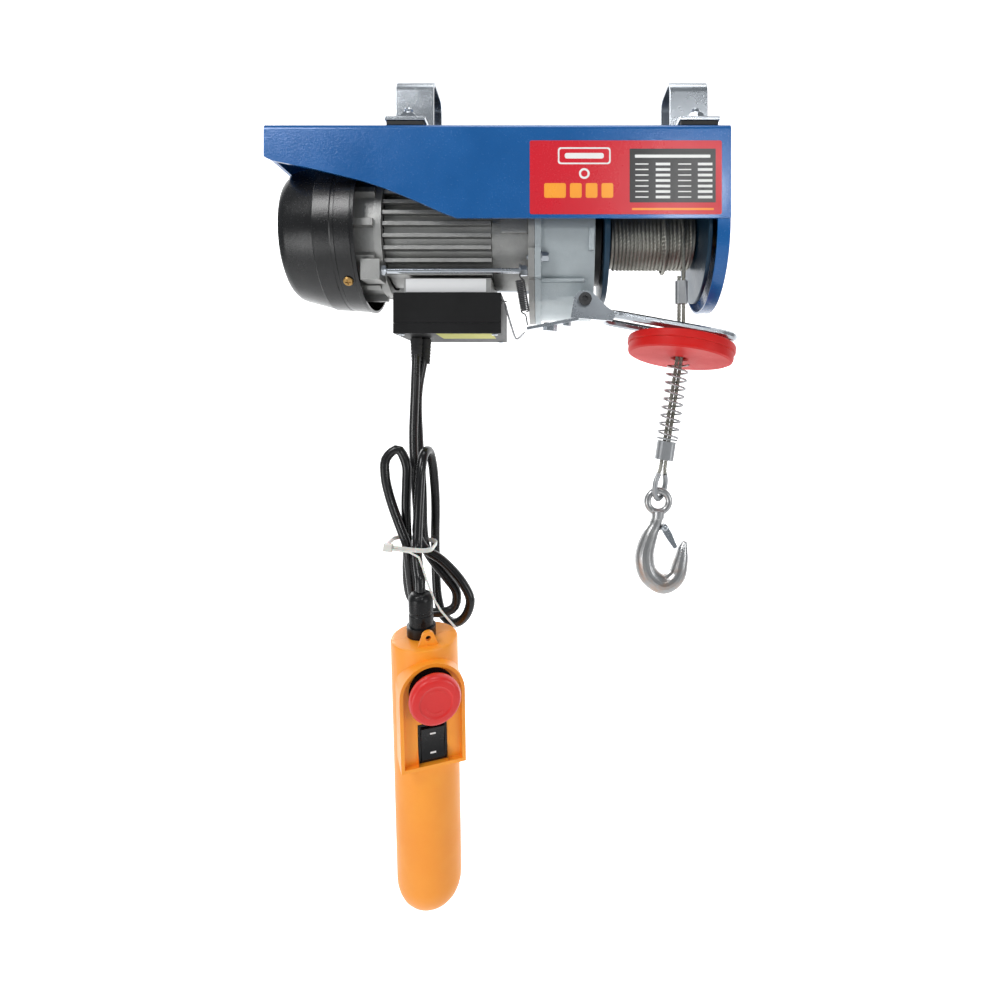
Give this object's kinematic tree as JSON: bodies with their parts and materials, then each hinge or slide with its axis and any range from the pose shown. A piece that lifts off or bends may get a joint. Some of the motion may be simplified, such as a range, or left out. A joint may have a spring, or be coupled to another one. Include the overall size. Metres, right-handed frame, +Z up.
{
  "type": "electric wire rope hoist",
  "caption": "Compact electric rope hoist: clamp-on frame, finned motor, gearbox, rope drum, weighted latch hook, limit arm and a corded pendant with stop button.",
  "frame": {"origin": "on the middle of the frame's flat top, where the support tube's underside lies", "axes": "+X along the drum and motor axis towards the drum end, +Z up, -Y towards the front with the label"},
  "size_m": [0.4136, 0.2164, 0.7334],
  "materials": {
    "frame_channel": "glossy hammered enamel",
    "end_plate": "glossy hammered enamel",
    "clamp_left": "bright zinc plate",
    "clamp_right": "bright zinc plate",
    "clamp_pad_left": "matt",
    "clamp_pad_right": "matt",
    "clamp_bolt_left_front": "bright zinc plate",
    "clamp_bolt_left_rear": "bright zinc plate",
    "clamp_bolt_right_front": "bright zinc plate",
    "clamp_bolt_right_rear": "bright zinc plate",
    "fan_cover": "fine grain",
    "fan_cover_screw": "bright zinc plate",
    "rear_bell": "die cast",
    "motor_housing": "die cast",
    "front_bell": "die cast",
    "stator": "windings and laminations",
    "motor_shaft": "machined",
    "rear_bearing": "machined",
    "front_bearing": "machined",
    "cooling_fan": "fine grain",
    "tie_rod_front": "bright zinc plate",
    "tie_rod_rear": "bright zinc plate",
    "gearbox_cover": "die cast",
    "gearbox_housing": "silver enamel over a casting",
    "gearbox_bolt_front": "bright zinc plate",
    "gearbox_bolt_rear": "bright zinc plate",
    "intermediate_gear": "machined",
    "drum_shaft": "machined",
    "rope_drum": "dark enamel",
    "drum_bush": "sintered",
    "rope_winding": "stranded wire, lightly oiled",
    "rope_fall": "stranded wire, lightly oiled",
    "upper_ferrule": "bright zinc plate",
    "hook_rope": "stranded wire, lightly oiled",
    "stop_weight": "gloss enamel",
    "stop_spring": "bright zinc plate",
    "spring_washer": "bright zinc plate",
    "lower_ferrule": "bright zinc plate",
    "hook": "bright zinc plate",
    "hook_latch": "bright zinc plate",
    "limit_arm": "bright zinc plate",
    "arm_pivot_bolt": "bright zinc plate",
    "return_spring": "machined",
    "limit_link": "machined",
    "box_body": "fine grain",
    "box_lid": "fine grain",
    "limit_switch": "fine grain",
    "capacitor": "natural nylon",
    "pendant_front": "moulded, satin",
    "pendant_rear": "moulded, satin",
    "switch_block": "fine grain",
    "estop_stem": "fine grain",
    "estop_cap": "moulded, satin",
    "rocker_switch": "fine grain",
    "cord_gland": "fine grain",
    "control_cord": "smooth jacket",
    "mains_cord": "smooth jacket",
    "mains_plug": "matt",
    "cable_tie": "natural nylon"
  },
  "bodies": {
    "root": {"frame_channel": "frame_channel", "end_plate": "end_plate", "clamp_left": "clamp_left", "clamp_right": "clamp_right", "clamp_pad_left": "clamp_pad_left", "clamp_pad_right": "clamp_pad_right", "clamp_bolt_left_front": "clamp_bolt_left_front", "clamp_bolt_left_rear": "clamp_bolt_left_rear", "clamp_bolt_right_front": "clamp_bolt_right_front", "clamp_bolt_right_rear": "clamp_bolt_right_rear", "fan_cover": "fan_cover", "fan_cover_screw": "fan_cover_screw", "rear_bell": "rear_bell", "motor_housing": "motor_housing", "front_bell": "front_bell", "stator": "stator", "rear_bearing": "rear_bearing", "front_bearing": "front_bearing", "tie_rod_front": "tie_rod_front", "tie_rod_rear": "tie_rod_rear", "gearbox_cover": "gearbox_cover", "gearbox_housing": "gearbox_housing", "gearbox_bolt_front": "gearbox_bolt_front", "gearbox_bolt_rear": "gearbox_bolt_rear", "drum_bush": "drum_bush", "rope_fall": "rope_fall", "arm_pivot_bolt": "arm_pivot_bolt", "return_spring": "return_spring", "box_body": "box_body", "box_lid": "box_lid", "limit_switch": "limit_switch", "capacitor": "capacitor", "pendant_front": "pendant_front", "pendant_rear": "pendant_rear", "switch_block": "switch_block", "cord_gland": "cord_gland", "control_cord": "control_cord", "mains_cord": "mains_cord", "mains_plug": "mains_plug", "cable_tie": "cable_tie"},
    "motor": {"motor_shaft": "motor_shaft", "cooling_fan": "cooling_fan"},
    "layshaft": {"intermediate_gear": "intermediate_gear"},
    "drum": {"drum_shaft": "drum_shaft", "rope_drum": "rope_drum", "rope_winding": "rope_winding"},
    "hook_block": {"upper_ferrule": "upper_ferrule", "hook_rope": "hook_rope", "stop_weight": "stop_weight", "stop_spring": "stop_spring", "spring_washer": "spring_washer", "lower_ferrule": "lower_ferrule"},
    "hook": {"hook": "hook"},
    "latch": {"hook_latch": "hook_latch"},
    "limit_arm": {"limit_arm": "limit_arm"},
    "limit_link": {"limit_link": "limit_link"},
    "estop_stem": {"estop_stem": "estop_stem"},
    "estop_cap": {"estop_cap": "estop_cap"},
    "rocker": {"rocker_switch": "rocker_switch"}
  },
  "joints": [
    {"name": "drum_spin", "type": "hinge", "parent": "root", "child": "drum", "pos_m": [0.14, 0, -0.081], "axis": [1, 0, 0], "range_deg": [0, 430]},
    {"name": "motor_spin", "type": "hinge", "parent": "root", "child": "motor", "pos_m": [0, 0, -0.081], "axis": [1, 0, 0], "range_deg": [0, 6881]},
    {"name": "layshaft_spin", "type": "hinge", "parent": "root", "child": "layshaft", "pos_m": [0.05, 0, -0.117], "axis": [1, 0, 0], "range_deg": [-1721, 0]},
    {"name": "hook_lift", "type": "slide", "parent": "root", "child": "hook_block", "axis": [0, 0, -1], "range_m": [0, 0.2508], "deforming": ["rope_fall"]},
    {"name": "hook_swing", "type": "hinge", "parent": "hook_block", "child": "hook", "pos_m": [0.1441, -0.0334, -0.3272], "axis": [0, 1, 0], "range_deg": [-20, 20]},
    {"name": "latch_open", "type": "hinge", "parent": "hook", "child": "latch", "pos_m": [0.1498, -0.0334, -0.3534], "axis": [0, 1, 0], "range_deg": [0, 30], "stiffness_Nm_per_rad": 0.03, "springref_deg": -17.19},
    {"name": "limit_arm_lift", "type": "hinge", "parent": "root", "child": "limit_arm", "pos_m": [0.0756, -0.06, -0.149], "axis": [0, -1, 0], "range_deg": [0, 9.5], "stiffness_Nm_per_rad": 0.3, "springref_deg": -11.46, "deforming": ["return_spring"]},
    {"name": "limit_link_pull", "type": "slide", "parent": "root", "child": "limit_link", "axis": [0, 0, -1], "range_m": [0, 0.0107]},
    {"name": "estop_press", "type": "slide", "parent": "root", "child": "estop_stem", "axis": [-0.342, 0.9333, 0.1096], "range_m": [0, 0.004]},
    {"name": "estop_twist", "type": "hinge", "parent": "estop_stem", "child": "estop_cap", "pos_m": [-0.04483, -0.12831, -0.46401], "axis": [-0.342, 0.9333, 0.1096], "range_deg": [0, 45], "stiffness_Nm_per_rad": 0.03},
    {"name": "rocker_tilt", "type": "hinge", "parent": "root", "child": "rocker", "pos_m": [-0.0487, -0.11263, -0.50647], "axis": [0.9397, 0.3397, 0.0399], "range_deg": [-10, 10], "stiffness_Nm_per_rad": 0.05}
  ],
  "couplings": [
    {"joint": "motor_spin", "follows": "drum_spin", "ratio": 16},
    {"joint": "layshaft_spin", "follows": "drum_spin", "ratio": -4},
    {"joint": "hook_lift", "follows": "drum_spin", "m_per_rad": 0.0334},
    {"joint": "limit_link_pull", "follows": "limit_arm_lift", "m_per_rad": 0.0506}
  ]
}
